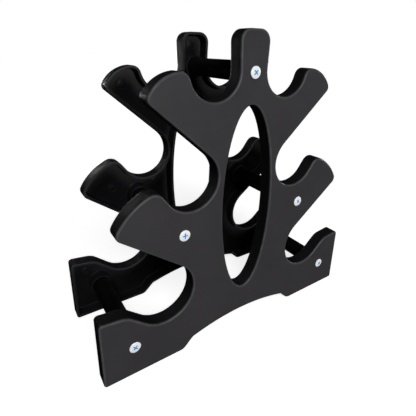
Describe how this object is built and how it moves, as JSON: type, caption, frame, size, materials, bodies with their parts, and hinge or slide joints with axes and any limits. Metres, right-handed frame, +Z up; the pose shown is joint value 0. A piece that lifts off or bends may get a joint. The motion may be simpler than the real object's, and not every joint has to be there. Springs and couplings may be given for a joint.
{
  "type": "dumbbell rack",
  "caption": "Desktop dumbbell rack: two tree-shaped moulded side panels with curved cradles, held apart by screwed crossbars.",
  "frame": {"origin": "on the floor, halfway across the width and halfway between the two panels", "axes": "+X along the panels' width, +Y from the front panel to the rear panel along the crossbars, +Z up"},
  "size_m": [0.3, 0.1162, 0.299],
  "materials": {
    "panel_plastic": "fine-grained black moulding, satin, slightly shiny on its rounded edges",
    "crossbar_steel": "smooth black powder coat, semi-gloss",
    "plug_nylon": "plain dark grey nylon, hidden inside the tubes",
    "screw_zinc": "bright zinc plate with a faint blue tint"
  },
  "bodies": {
    "root": {"side_panel_front": "panel_plastic", "side_panel_rear": "panel_plastic", "crossbar_top": "crossbar_steel", "crossbar_mid_left": "crossbar_steel", "crossbar_mid_right": "crossbar_steel", "crossbar_bottom_left": "crossbar_steel", "crossbar_bottom_right": "crossbar_steel", "end_plug_top_front": "plug_nylon", "end_plug_top_rear": "plug_nylon", "end_plug_mid_left_front": "plug_nylon", "end_plug_mid_left_rear": "plug_nylon", "end_plug_mid_right_front": "plug_nylon", "end_plug_mid_right_rear": "plug_nylon", "end_plug_bottom_left_front": "plug_nylon", "end_plug_bottom_left_rear": "plug_nylon", "end_plug_bottom_right_front": "plug_nylon", "end_plug_bottom_right_rear": "plug_nylon", "screw_top_front": "screw_zinc", "screw_top_rear": "screw_zinc", "screw_mid_left_front": "screw_zinc", "screw_mid_left_rear": "screw_zinc", "screw_mid_right_front": "screw_zinc", "screw_mid_right_rear": "screw_zinc", "screw_bottom_left_front": "screw_zinc", "screw_bottom_left_rear": "screw_zinc", "screw_bottom_right_front": "screw_zinc", "screw_bottom_right_rear": "screw_zinc"}
  },
  "joints": []
}
